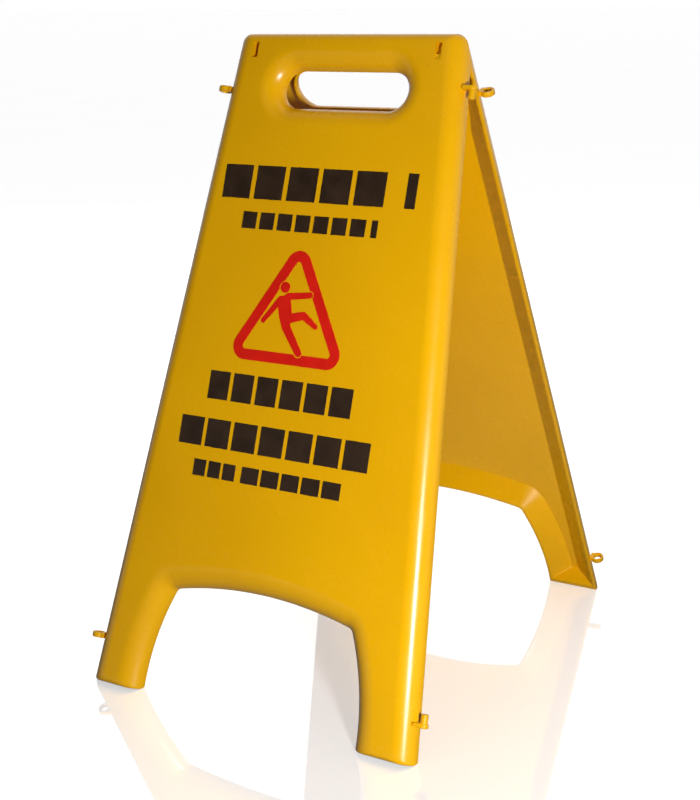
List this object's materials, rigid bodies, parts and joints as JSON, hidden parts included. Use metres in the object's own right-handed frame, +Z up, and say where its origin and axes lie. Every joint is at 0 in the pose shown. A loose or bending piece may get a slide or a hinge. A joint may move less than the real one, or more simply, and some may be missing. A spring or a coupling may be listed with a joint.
{
  "type": "wet floor sign",
  "caption": "Folding A-frame floor sign: hinged plastic panels with a hand hole, arched feet, edge link lugs and a slip hazard print on both faces.",
  "frame": {"origin": "on the floor, under the middle of the standing sign", "axes": "+X along the hinge line, front panel facing -Y, +Z up"},
  "size_m": [0.3606, 0.4402, 0.5878],
  "materials": {
    "yellow_plastic": "smooth semi-gloss moulded plastic",
    "steel_pin": "plain drawn steel",
    "red_ink": "screen printed ink",
    "dark_ink": "screen printed ink"
  },
  "bodies": {
    "front_half": {"front_panel": "yellow_plastic", "left_hinge_pin": "steel_pin", "front_upper_hook": "yellow_plastic", "front_lower_hook": "yellow_plastic", "front_upper_ring": "yellow_plastic", "front_lower_ring": "yellow_plastic", "front_triangle_print": "red_ink", "front_figure_print": "red_ink", "front_block_print": "dark_ink"},
    "rear_half": {"rear_panel": "yellow_plastic", "right_hinge_pin": "steel_pin", "rear_upper_hook": "yellow_plastic", "rear_lower_hook": "yellow_plastic", "rear_upper_ring": "yellow_plastic", "rear_lower_ring": "yellow_plastic", "rear_triangle_print": "red_ink", "rear_figure_print": "red_ink", "rear_block_print": "dark_ink"}
  },
  "joints": [
    {"name": "panel_hinge", "type": "hinge", "parent": "front_half", "child": "rear_half", "pos_m": [0, 0, 0.5563], "axis": [-1, 0, 0], "range_deg": [0, 40]}
  ]
}
